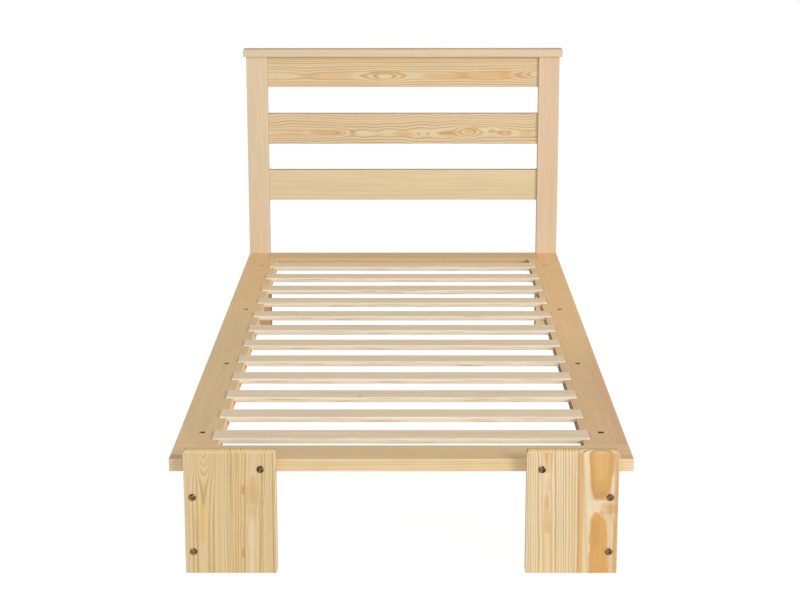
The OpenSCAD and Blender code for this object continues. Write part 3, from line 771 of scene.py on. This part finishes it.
PLANK_STAVES = {
    "foot_plank_left": (0.0015, Wood(
        21.5, "planks", pith=(-0.054, -0.006), lean=-0.02, ring=0.0054, offset=0.55, wave=0.0012,
        wave_length=0.1, contrast=0.95, ragged=0.5, line="late_yellow",
        swirls=(
            (-0.135, -0.053, 0.045, 0.02, -0.021), (-0.105, -0.08, 0.03, 0.02, 0.008),
            (0.125, -0.055, 0.05, 0.014, 0.0018),
        ),
        zones=(
            ("resin", 0.018, -0.0555, 0.052, 0.0056, 0.58, 0.6, -0.026),
            ("late", 0.06, -0.076, 0.07, 0.0011, 0.7), ("late", 0.07, -0.069, 0.06, 0.0011, 0.65, 0.7, 0.03),
            ("late", 0.06, -0.036, 0.09, 0.0011, 0.6, 0.7, -0.03),
        ),
    ), Wood(
        22.8, "planks", pith=(0.0445, 0), lean=-0.03, ring=0.005, offset=0.6, wave=0.0018, wave_length=0.07,
        contrast=0.85, ragged=0.6, line="late_yellow",
        zones=(
            ("late", 0, 0.011, 0.3, 0.0011, 0.7, 0.7, -0.02),
            ("late", 0, 0.016, 0.3, 0.001, 0.65, 0.7, -0.02),
            ("late", -0.06, 0.004, 0.07, 0.0014, 0.6, 0.7, -0.01),
            ("late", -0.0485, 0.0265, 0.009, 0.0026, 0.9, 0.7, -0.02),
            ("late", 0.086, 0.024, 0.011, 0.0026, 0.85, 0.7, -0.02),
            ("late", 0.02, 0.0295, 0.16, 0.0011, 0.75, 0.7, -0.02),
            ("late", 0.02, 0.0625, 0.12, 0.0013, 0.75, 0.7, -0.03), ("late", 0, 0.0865, 0.3, 0.0014, 0.8),
            ("late_yellow", -0.048, 0.0465, 0.03, 0.01, 0.3, 0.5, -0.02, 0.3),
            ("amber_and_shade", -0.052, 0.0465, 0.024, 0.008, 0.3, 0.6, -0.02, 0.3),
            ("late_yellow", -0.025, 0.0465, 0.035, 0.011, 0.22, 0.8, -0.02),
            ("amber_and_shade", 0, 0.018, 0.2, 0.008, 0.15, 0.9, -0.02),
            ("cream_and_light", 0.07, 0.0425, 0.062, 0.0095, 0.36, 0.8, -0.02),
        ),
    )),
    "foot_plank_right": (0.005, Wood(
        23.3, "planks", pith=(-0.051, 0.005), lean=0.02, ring=0.0052, offset=0.68, wave=0.0014,
        wave_length=0.12, contrast=0.9,
        swirls=((-0.058, -0.051, 0.024, 0.007, 0.004), (0.13, -0.0505, 0.16, 0.012, 0.0028)),
        zones=(
            ("cream_and_light", 0, -0.02, 0.4, 0.2, 0.6, 0.9), ("amber_and_shade", -0.115, -0.05, 0.04, 0.01, 0.4, 0.5, 0, -0.8),
            ("cream_and_light", -0.06, -0.051, 0.024, 0.011, 0.7, 0.5),
            ("amber_and_shade", 0.004, -0.0505, 0.042, 0.0065, 0.5, 0.3, 0.03, 0.3),
            ("late", -0.03, -0.0512, 0.02, 0.004, 0.25, 0.7, 0, 0.3),
            ("resin", 0.09, -0.0485, 0.07, 0.0095, 0.22, 0.25, 0.03),
        ),
    ), Wood(
        24.6, "planks", pith=(0.0575, 0.0661), tilt=0.036, ring=0.0085, offset=0.36, wave=0.0008,
        wave_length=0.16, contrast=0.17, ragged=0.6, line="knot",
        swirls=((-0.01, 0.075, 0.03, 0.025, 0.006),),
        zones=(
            ("cream_and_light", 0, 0.028, 0.25, 0.011, 0.7, 0.5, 0.012),
            ("cream_and_light", 0, 0.0085, 0.3, 0.0015, 0.6, 0.6, 0.008),
            ("amber_and_shade", 0, 0.0172, 0.3, 0.0052, 0.75, 0.95, 0.008),
            ("late", 0, 0.0122, 0.3, 0.0012, 0.95, 0.5, 0.008), ("cream_and_light", 0, 0.0815, 0.25, 0.0026, 0.8, 0.5),
            ("amber_and_shade", 0, 0.089, 0.3, 0.005, 0.7, 0.95), ("late", 0.02, 0.0905, 0.2, 0.0008, 0.6, 0.6),
            ("late", -0.0905, 0.057, 0.061, 0.0216, 0.6, 0.1, 0, -0.15),
            ("amber_and_shade", -0.093, 0.057, 0.06, 0.02, 0.85, 0.12, 0, -0.15),
            ("honey_and_light", -0.086, 0.058, 0.046, 0.0125, 0.22, 0.8),
            ("amber_and_shade", -0.037, 0.0475, 0.01, 0.006, 0.85, 0.3),
            ("amber_and_shade", -0.037, 0.0625, 0.01, 0.0055, 0.85, 0.3),
            ("cream_and_light", -0.01, 0.05, 0.018, 0.018, 0.85, 0.5), ("amber_and_shade", -0.008, 0.07, 0.012, 0.014, 0.5, 0.5),
            ("late", -0.008, 0.086, 0.01, 0.01, 0.4, 0.6),
            ("late", 0.079, 0.0538, 0.076, 0.0186, 0.6, 0.1, 0.03, 0.1),
            ("amber_and_shade", 0.0815, 0.0543, 0.074, 0.0172, 0.9, 0.12, 0.03, 0.1),
            ("amber_and_shade", 0.01, 0.047, 0.012, 0.003, 0.7, 0.4, 0.1),
            ("amber_and_shade", 0.01, 0.059, 0.014, 0.005, 0.7, 0.4), ("late", 0.045, 0.047, 0.03, 0.007, 0.4),
            ("late", -0.05, 0.054, 0.02, 0.012, 0.3, 0.9),
        ),
    )),
}


class PINEBED_OT_base(bpy.types.Operator):
    """Finish the rails, the beams under them and the leg boards"""

    bl_idname = "pine_bed.base"
    bl_label = "Rails, Beams and Legs"

    def execute(self, context):
        soft_boards(BASE_BOARDS)
        return {"FINISHED"}


class PINEBED_OT_planks(bpy.types.Operator):
    """Finish the two foot planks, each of two glued staves"""

    bl_idname = "pine_bed.planks"
    bl_label = "Foot Planks"

    def execute(self, context):
        for node, (seam, left, right) in PLANK_STAVES.items():
            soft_board(node, stave_material(node, "-Z", "-Y", seam, left, right))
        return {"FINISHED"}


class PINEBED_OT_headboard(bpy.types.Operator):
    """Finish the posts, the headboard slats and the cap"""

    bl_idname = "pine_bed.headboard"
    bl_label = "Headboard"

    def execute(self, context):
        soft_boards(HEAD_BOARDS)
        return {"FINISHED"}


# What repeats is made by geometry nodes


def grown(name, points, tree, values, nodes):
    """One plain mesh from a node tree, standing for the frame nodes it copies."""
    seed_mesh = bpy.data.meshes.new(f"{name}_places")
    seed_mesh.from_pydata([tuple(point) for point in points], [], [])
    source = new_object(f"{name}_source", seed_mesh)
    modifier = source.modifiers.new(name, "NODES")
    modifier.node_group = tree
    for item in tree.interface.items_tree:
        if item.in_out == "INPUT" and item.name in values:
            modifier[item.identifier] = values[item.name]
    bpy.context.view_layer.update()
    mesh = bpy.data.meshes.new_from_object(source.evaluated_get(bpy.context.evaluated_depsgraph_get()))
    source.modifiers.remove(modifier)
    bpy.data.objects.remove(source)
    if not mesh.polygons:
        raise RuntimeError(f"{name}: the node tree made no faces")
    mesh.name = name
    piece = add_piece(name, mesh, values["Material"], nodes)
    mesh.shade_smooth()
    return piece


def finish_shape(w, have, geometry):
    """Ends a geometry tree with its copies made real and given their material."""
    real = w.add("GeometryNodeRealizeInstances", {"Geometry": geometry})
    shape = w.value("GeometryNodeSetMaterial", {"Geometry": real, "Material": have["Material"]})
    return w.give({"Geometry": shape})


def make_slat_tree():
    """Slats with eased long edges in a row along Y, each with its own middle and seed stored."""
    w, have = new_group("Row of Slats", {
        "Geometry": "Geometry", "Length": 0.8, "Width": 0.06, "Thickness": 0.014, "Eased Edge": 0.0015,
        "Count": 12, "Pitch": 0.15, "Seed": 5, "Material": "Material",
    }, "GeometryNodeTree")
    section = {"Width": have["Width"], "Height": have["Thickness"]}
    outline = w.add("GeometryNodeCurvePrimitiveQuadrilateral", section)
    rounding = {"Curve": outline, "Count": 4, "Radius": have["Eased Edge"]}
    eased = w.add("GeometryNodeFilletCurve", rounding, mode="POLY")
    half = have["Length"] / 2.0
    ends = {"Start": w.join(half * -1.0, 0.0, 0.0), "End": w.join(half, 0.0, 0.0)}
    line = w.add("GeometryNodeCurvePrimitiveLine", ends)
    upright = w.add("GeometryNodeSetCurveNormal", {"Curve": line}, mode="Z_UP")
    slat = w.add("GeometryNodeCurveToMesh", {"Curve": upright, "Profile Curve": eased, "Fill Caps": True})
    step = w.join(0.0, have["Pitch"], 0.0)
    spread = w.add("GeometryNodeMeshLine", {"Count": have["Count"], "Offset": step})
    here = w.add("GeometryNodeInputPosition")
    sample = {"Geometry": have["Geometry"], "Index": 0, "Value": here}
    first = w.add("GeometryNodeSampleIndex", sample, data_type="FLOAT_VECTOR")
    placed = w.add("GeometryNodeSetPosition", {"Geometry": spread, "Offset": first})
    copies = w.add("GeometryNodeInstanceOnPoints", {"Points": placed, "Instance": slat})
    chance = w.add("FunctionNodeRandomValue", {"Seed": have["Seed"]}, data_type="FLOAT")
    for name, value, kind in (("slat_middle", here, "FLOAT_VECTOR"), ("slat_seed", chance, "FLOAT")):
        stored = {"Geometry": copies, "Name": name, "Value": value}
        copies = w.add("GeometryNodeStoreNamedAttribute", stored, data_type=kind, domain="INSTANCE")
    return finish_shape(w, have, copies)


def slat_material(slats):
    """Pale pine that differs from slat to slat, by the middle and the seed stored on each."""
    settings = bpy.context.scene.pine_bed_wood
    material, w = empty_material("bed_slat_pine")
    surface = w.add("ShaderNodeTexCoord").outputs
    middle = w.value("ShaderNodeAttribute", output="Vector", attribute_name="slat_middle")
    seed = w.value("ShaderNodeAttribute", output="Fac", attribute_name="slat_seed")
    vector = w.vector("SUBTRACT", surface["Object"], middle)
    sway = seed - 0.5
    number = seed * 40.0
    knots = use_group(w, "Pin Knots", {"Vector": vector, "Share": 0.14, "Size": 0.055, "Seed": number})
    rings = use_group(w, "Growth Rings", {
        "Vector": vector, "Pith Across": sway * 0.16, "Pith Depth": -0.05, "Lean Across": sway * 0.03,
        "Ring Width": 0.0036, "Ring Offset": number, "Waviness": 0.0022, "Wave Length": 0.35,
        "Figure": knots["Figure"], "Seed": number,
    })
    end, front, _upright = [w.math("ABSOLUTE", part) for part in w.split(surface["Normal"])]
    half = (slats.length / 2, slats.width / 2, slats.thickness / 2)
    edges = use_group(w, "Board Edges", {"Vector": vector, "End Facing": end, "Half Size": half})
    # Painted light: the long narrow faces get a paler colour than the tops, as the lamps light them more.
    wood = w.mix(front, settings.slats[:], settings.lit_slat_fronts[:])
    pine = use_group(w, "Planed Pine", {
        "Vector": vector, **rings, **edges, "Contrast": 0.24, "Seed": number,
        "Wood Colour": wood, "Late Colour": settings.late[:],
    })
    colour = w.mix(knots["Knot"] * 0.8, pine["Color"], settings.knot[:])
    along, _across, height = w.split(vector)
    shade_in_housing = w.step(along, half[0] - 0.0022, half[0] - 0.001) * 0.5
    colour = w.mix(shade_in_housing, colour, settings.knot[:])
    place = w.join(along * 9.0 + number, height * 420.0, number)
    flecks = front * w.step(w.noise(place), 0.56, 0.70, 0.0, 0.55)
    colour = w.mix(flecks, colour, settings.late[:])
    shade_on_front = front * w.step(height, -0.001, 0.002, 0.3, 0.0)
    shade_below = w.step(height, 0.0004 - half[2], 0.002 - half[2], 0.4, 0.0)
    colour = w.mix(shade_on_front + shade_below, colour, (0.74, 0.68, 0.64, 1), "MULTIPLY")
    add_lacquered_pine(w, colour, pine["Roughness"], pine["Height"])
    return material


class PINEBED_OT_slats(bpy.types.Operator):
    """Lay the row of bed slats in their housings"""

    bl_idname = "pine_bed.slats"
    bl_label = "Bed Slats"

    def execute(self, context):
        slats = context.scene.pine_bed_slats
        nodes = [f"slat_{k:02d}" for k in range(1, slats.count + 1)]
        values = {"Length": slats.length, "Width": slats.width, "Thickness": slats.thickness,
                  "Eased Edge": slats.eased, "Count": slats.count, "Pitch": slats.pitch, "Seed": 5,
                  "Material": slat_material(slats)}
        soften(grown("bed_slats", [box_middle("slat_01")], make_slat_tree(), values, nodes))
        return {"FINISHED"}


def make_turned_tree(name, sizes, rings, recess, facets=48):
    """A turned fastener on each point. rings gives each ring's radius, height and share of the recess
    outline, and recess builds that outline's radius from the angle round the axis."""
    w, have = new_group(name, {
        "Geometry": "Geometry", **sizes, "Facing": (0.0, 0.0, 1.0), "Seed": 3, "Material": "Material",
    }, "GeometryNodeTree")
    rows = rings(have)
    grid = w.add("GeometryNodeMeshGrid", {"Vertices X": len(rows), "Vertices Y": facets + 1})
    index = w.value("GeometryNodeInputIndex")
    row = w.math("FLOOR", (index + 0.5) / (facets + 1))
    turn = (index - row * (facets + 1)) * (2 * math.pi / facets)

    def pick(column):
        node = w.add("GeometryNodeIndexSwitch", {"Index": row}, data_type="FLOAT")
        node.index_switch_items.clear()
        for _row in rows:
            node.index_switch_items.new()
        for socket, values in zip(list(node.inputs)[1:], rows):
            w.feed(socket, values[column])
        return Value(w, node.outputs[0])

    radius = pick(0) + pick(2) * recess(w, have, turn)
    spot = w.join(radius * w.math("COSINE", turn), radius * w.math("SINE", turn), pick(1))
    shaped = w.add("GeometryNodeSetPosition", {"Geometry": grid, "Position": spot})
    closed = w.add("GeometryNodeMergeByDistance", {"Geometry": shaped, "Distance": 1e-6})
    facing = w.add("FunctionNodeAlignRotationToVector", {"Vector": have["Facing"]}, axis="Z")
    heads = {"Points": have["Geometry"], "Instance": closed, "Rotation": facing}
    copies = w.add("GeometryNodeInstanceOnPoints", heads)
    angle = w.value("FunctionNodeRandomValue", {"Seed": have["Seed"]}, data_type="FLOAT") * math.pi
    spin = w.add("FunctionNodeEulerToRotation", {"Euler": w.join(0.0, 0.0, angle)})
    turned = w.add("GeometryNodeRotateInstances", {"Instances": copies, "Rotation": spin})
    return finish_shape(w, have, turned)


def bolt_rings(have):
    """Socket floor and walls, flat top, domed rim, underside and shank of a bolt, from the middle out."""
    rim = have["Head Diameter"] / 2.0
    shank = have["Shank Diameter"] / 2.0
    top = have["Head Height"]
    floor = top - have["Socket Depth"]
    low = have["Shank Length"] * -1.0
    flat, side, steps = rim - top, 0.0008, 5
    rows = [(0.0, floor, 0.0), (0.0, floor, 0.94), (0.0, top - 0.0002, 1.0), (0.0, top, 1.1)]
    for k in range(steps + 1):
        a = math.radians(90 * k / steps)
        rows.append((flat + top * math.sin(a), side + (top - side) * math.cos(a), 0.0))
    return rows + [(rim - 0.0001, 0.0, 0.0), (shank, 0.0, 0.0), (shank, low + 0.001, 0.0),
                   (shank - 0.001, low, 0.0), (0.0, low, 0.0)]


def hexagon(w, have, turn):
    wrapped = w.math("WRAP", turn, math.pi / 6, -math.pi / 6)
    return have["Socket"] / 2.0 / w.math("COSINE", wrapped)


def screw_rings(have):
    """Cross recess, flat head, countersink, shank and point of a screw, from the middle out."""
    rim = have["Head Diameter"] / 2.0
    shank = have["Shank Diameter"] / 2.0
    low = have["Shank Length"] * -1.0
    return [(0.0, -0.0018, 0.0), (0.0, -0.0014, 0.55), (0.0, -0.0001, 1.0), (0.0, 0.0, 1.06),
            (rim - 0.0003, 0.0, 0.0), (rim, -0.0002, 0.0), (shank, shank - rim, 0.0),
            (shank, low + 0.007, 0.0), (shank * 0.5, low + 0.003, 0.0), (0.0, low, 0.0)]


def cross(w, have, turn):
    wrapped = w.math("WRAP", turn, math.pi / 4, -math.pi / 4)
    arm = have["Head Diameter"] * 0.28 / w.math("COSINE", wrapped)
    side = 0.00055 / w.math("MAXIMUM", w.math("ABSOLUTE", w.math("SINE", wrapped)), 0.001)
    return w.math("MINIMUM", arm, side)


def metal_material(name, light, dark, roughness, grain, metallic=1.0):
    """Plated metal with dull, darker patches and fine scratches. grain is the patches' number per metre."""
    material, w = empty_material(name)
    place = w.value("ShaderNodeTexCoord", output="Object")
    patches = w.noise(w.vector("MULTIPLY", place, (grain, grain, grain)), 3.0, 0.6)
    scratches = w.noise(w.vector("MULTIPLY", place, (grain * 9, grain * 0.7, grain * 9)), 2.0)
    tone = w.step(patches + (scratches - 0.5) * 0.4, 0.38, 0.6)
    # Painted reflection: the colour turns dark towards the rim, where the heads turn away from the view.
    rim = w.value("ShaderNodeLayerWeight", {"Blend": 0.5}, "Facing")
    colour = w.mix(tone * w.step(rim, 0.12, 0.45, 1.0, 0.1), dark, light)
    levels = {"Metallic": metallic, "Specular IOR Level": 0.5 * metallic}
    add_shader(w, colour, roughness + (patches - 0.5) * 0.3, patches + scratches, 0.2, 0.0002, levels)
    return material


def mixed(a, b, share):
    return tuple(x * (1 - share) + y * share for x, y in zip(a, b))


def zinc_material(name, shade, roughness, grain):
    zinc = bpy.context.scene.pine_bed_fasteners.zinc[:]
    return metal_material(name, zinc, mixed(zinc, (0, 0, 0, 1), shade), roughness, grain)


def solid_boxes(node):
    """The box of each separate solid of a fastener node, in order of place."""
    work = welded(node)
    left, boxes = set(work.verts), []
    while left:
        group, edge = set(), [left.pop()]
        while edge:
            vert = edge.pop()
            group.add(vert)
            near = {link.other_vert(vert) for link in vert.link_edges} & left
            left -= near
            edge += near
        spans = [[vert.co[k] for vert in group] for k in range(3)]
        boxes.append((Vector([min(span) for span in spans]), Vector([max(span) for span in spans])))
    work.free()
    return sorted(boxes, key=lambda box: [round(part, 3) for part in box[0]])


def turn_fasteners(node, tree, facing, stand, values):
    """A turned fastener in the place of each solid of a frame node. facing names the axis that the heads look
    along, and stand is how far they stand over their seats."""
    out = AXES[facing]
    axis = "XYZ".index(facing[1])
    boxes = solid_boxes(node)
    seats = []
    for low, high in boxes:
        seat = (low + high) / 2
        seat[axis] = (high if out[axis] > 0 else low)[axis] - out[axis] * stand
        seats.append(seat)
    low, high = boxes[0]
    values = {**values, "Shank Length": high[axis] - low[axis] - stand, "Facing": out}
    piece = grown(f"{node}_turned", seats, tree, values, [node])
    piece.data.set_sharp_from_angle(angle=math.radians(33))


class PINEBED_OT_bolts(bpy.types.Operator):
    """Put the bolts through the planks and, from behind, through the posts"""

    bl_idname = "pine_bed.bolts"
    bl_label = "Bolts"

    def execute(self, context):
        sizes = context.scene.pine_bed_fasteners
        bronze = metal_material("plank_bolt_bronze", sizes.bronze[:], sizes.bronze_dark[:], 0.24, 260.0)
        zinc = zinc_material("post_bolt_zinc", 0.3, 0.36, 300.0)
        values = {"Head Diameter": sizes.head_diameter, "Head Height": sizes.head_height,
                  "Socket": sizes.socket, "Socket Depth": sizes.socket_depth, "Shank Diameter": sizes.shank}
        tree = make_turned_tree("Socket Bolts", {**values, "Shank Length": 0.06}, bolt_rings, hexagon)
        for kind, facing, material, slot in (
            ("plank", "-Y", bronze, "bronze_fasteners"),
            ("post", "+Y", zinc, "zinc_fasteners"),
        ):
            for side in SIDES:
                node = f"{kind}_bolts_{side}"
                looks = {"Seed": len(node), "Material": material}
                turn_fasteners(node, tree, facing, sizes.head_height, {**values, **looks})
        return {"FINISHED"}


class PINEBED_OT_screws(bpy.types.Operator):
    """Sink the screws in the counterbores of the side rails"""

    bl_idname = "pine_bed.screws"
    bl_label = "Rail Screws"

    def execute(self, context):
        sizes = context.scene.pine_bed_fasteners
        dull = mixed(sizes.bronze[:], sizes.bronze_dark[:], 0.94)
        bronze = metal_material("rail_screw_bronze", dull, sizes.bronze_dark[:], 0.5, 320.0, 0.0)
        values = {"Head Diameter": sizes.screw_head, "Shank Diameter": sizes.screw_shank}
        tree = make_turned_tree("Cross Screws", {**values, "Shank Length": 0.068}, screw_rings, cross, 64)
        values |= {"Seed": 4, "Material": bronze}
        for side in SIDES:
            turn_fasteners(f"rail_screws_{side}", tree, "+Z", 0.0, values)
        return {"FINISHED"}


def beech_material():
    """Close-grained beech with short flecks, for the dowels."""
    settings = bpy.context.scene.pine_bed_wood
    material, w = empty_material("dowel_beech")
    place = w.value("ShaderNodeTexCoord", output="Object")
    flecks = w.noise(w.vector("MULTIPLY", place, (420.0, 420.0, 420.0)), 2.0)
    cloud = w.noise(w.vector("MULTIPLY", place, (40.0, 40.0, 40.0)), 2.0)
    tone = w.step(flecks, 0.55, 0.7) * 0.5 + cloud * 0.4
    colour = w.mix(tone, settings.beech[:], settings.beech_fleck[:])
    add_shader(w, colour, 0.5 + flecks * 0.2, flecks, 0.3, 0.0002, {})
    return material


class PINEBED_OT_joinery(bpy.types.Operator):
    """Finish the dowels, the barrel nuts and the lap screws, which the boards mostly hide"""

    bl_idname = "pine_bed.joinery"
    bl_label = "Dowels, Nuts and Lap Screws"

    def execute(self, context):
        dowels = ("side_rail_dowels", "foot_rail_dowels", "leg_dowels", "headboard_dowels", "cap_dowels")
        steel = ("foot_barrel_nuts", "head_barrel_nuts", "lap_screws")
        for slot, material, nodes in (
            ("beech_dowels", beech_material(), dowels),
            ("zinc_fasteners", zinc_material("barrel_nut_zinc", 0.35, 0.4, 280.0), steel),
        ):
            for node in nodes:
                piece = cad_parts[node]
                piece.data.materials.clear()
                piece.data.materials.append(material)
        return {"FINISHED"}


# Studio

FLOOR_REACH = 60.0
FLOOR_DROP = 0.0002


def soft_lamp(name, power, width, height, place, target):
    lamp = bpy.data.lights.new(name, "AREA")
    lamp.shape = "RECTANGLE"
    lamp.size, lamp.size_y = width, height
    lamp.energy = power
    holder = new_object(name, lamp)
    holder.location = place
    holder.rotation_euler = (Vector(target) - Vector(place)).to_track_quat("-Z", "Y").to_euler()


def seen_directly(w):
    """1 for rays that show the background: straight, mirrored or through glass."""
    path = w.add("ShaderNodeLightPath").outputs
    shown = w.math("MAXIMUM", path["Is Camera Ray"], path["Is Glossy Ray"])
    return w.math("MAXIMUM", shown, path["Is Transmission Ray"])


def make_floor():
    """A matt white floor, which direct rays see lit evenly, a hair under the feet."""
    quarters = ((-1, -1), (1, -1), (1, 1), (-1, 1))
    corners = [(x * FLOOR_REACH, y * FLOOR_REACH, -FLOOR_DROP) for x, y in quarters]
    mesh = bpy.data.meshes.new("studio_floor")
    mesh.from_pydata(corners, [], [(0, 1, 2, 3)])
    floor = new_object("studio_floor", mesh)
    material, w = empty_material("studio_floor_white")
    matt = w.add("ShaderNodeBsdfDiffuse", {"Color": (0.82, 0.82, 0.82, 1)})
    veil = w.add("ShaderNodeBsdfDiffuse", {"Color": (0.26, 0.26, 0.26, 1)})
    glow = w.add("ShaderNodeEmission", {"Color": (1, 1, 1, 1), "Strength": 0.9})
    shown = w.add("ShaderNodeAddShader", {0: veil, 1: glow})
    pick = w.add("ShaderNodeMixShader", {0: seen_directly(w), 1: matt, 2: shown})
    w.add("ShaderNodeOutputMaterial", {"Surface": pick})
    mesh.materials.append(material)


def make_world(strength):
    """Even light from all round, which direct rays see as full white."""
    world = bpy.data.worlds.new("studio_world")
    world.use_nodes = True
    world.node_tree.nodes.clear()
    w = Wiring(world.node_tree)
    level = seen_directly(w) * (1.0 - strength) + strength
    light = w.add("ShaderNodeBackground", {"Color": (1, 1, 1, 1), "Strength": level})
    w.add("ShaderNodeOutputWorld", {"Surface": light})
    bpy.context.scene.world = world


def make_camera(studio):
    camera = bpy.data.cameras.new("photo_camera")
    camera.sensor_width = 36.0
    camera.sensor_fit = "HORIZONTAL"
    camera.lens = studio.lens
    camera.clip_end = 200.0
    holder = new_object("photo_camera", camera)
    forward = Vector((
        -math.sin(studio.yaw) * math.cos(studio.pitch),
        math.cos(studio.yaw) * math.cos(studio.pitch),
        -math.sin(studio.pitch),
    ))
    level = Vector((math.cos(studio.yaw), math.sin(studio.yaw), 0.0))
    up = level.cross(forward)
    right = level * math.cos(studio.roll) + up * math.sin(studio.roll)
    up = right.cross(forward)
    turn = Matrix((right, up, -forward)).transposed()
    holder.matrix_world = Matrix.Translation(Vector(studio.eye)) @ turn.to_4x4()
    bpy.context.scene.camera = holder


class PINEBED_OT_stage(bpy.types.Operator):
    """Set up the floor, the soft lights, the world and the camera"""

    bl_idname = "pine_bed.stage"
    bl_label = "Studio"

    def execute(self, context):
        studio = context.scene.pine_bed_studio
        make_camera(studio)
        make_floor()
        make_world(studio.sky)
        soft_lamp("key_softbox", studio.key, 3.4, 3.4, (8.25, -8.0, 4.4), (0.0, -0.3, 0.3))
        soft_lamp("fill_softbox", studio.fill, 8.0, 5.0, (-3.6, -15.6, 3.9), (0.0, -0.2, 0.4))
        context.scene.view_settings.view_transform = "Standard"
        return {"FINISHED"}


class PINEBED_PT_panel(bpy.types.Panel):
    """Lists the bed's settings and the steps that build it"""

    bl_label = "Slatted Pine Bed"
    bl_idname = "PINEBED_PT_panel"
    bl_space_type = "VIEW_3D"
    bl_region_type = "UI"
    bl_category = "Pine Bed"

    def draw(self, context):
        layout = self.layout
        for name, cls in SETTINGS.items():
            box = layout.box()
            box.label(text=name.replace("pine_bed_", "").capitalize())
            for key in cls.__annotations__:
                box.prop(getattr(context.scene, name), key)
        for operator in OPERATORS:
            layout.operator(operator.bl_idname)


SETTINGS = {
    "pine_bed_wood": PineBedWood,
    "pine_bed_slats": PineBedSlats,
    "pine_bed_fasteners": PineBedFasteners,
    "pine_bed_studio": PineBedStudio,
}
OPERATORS = (
    PINEBED_OT_stage, PINEBED_OT_base, PINEBED_OT_planks, PINEBED_OT_headboard, PINEBED_OT_slats,
    PINEBED_OT_bolts, PINEBED_OT_screws, PINEBED_OT_joinery,
)
CLASSES = (*SETTINGS.values(), *OPERATORS, PINEBED_PT_panel)


def register():
    for cls in CLASSES:
        bpy.utils.register_class(cls)
    for name, cls in SETTINGS.items():
        setattr(bpy.types.Scene, name, bpy.props.PointerProperty(type=cls))


def unregister():
    for name in SETTINGS:
        delattr(bpy.types.Scene, name)
    for cls in reversed(CLASSES):
        bpy.utils.unregister_class(cls)


def main():
    register()
    bpy.ops.pine_bed.stage()
    bpy.ops.pine_bed.base()
    bpy.ops.pine_bed.planks()
    bpy.ops.pine_bed.headboard()
    bpy.ops.pine_bed.slats()
    bpy.ops.pine_bed.bolts()
    bpy.ops.pine_bed.screws()
    bpy.ops.pine_bed.joinery()


if __name__ == "__main__":
    main()
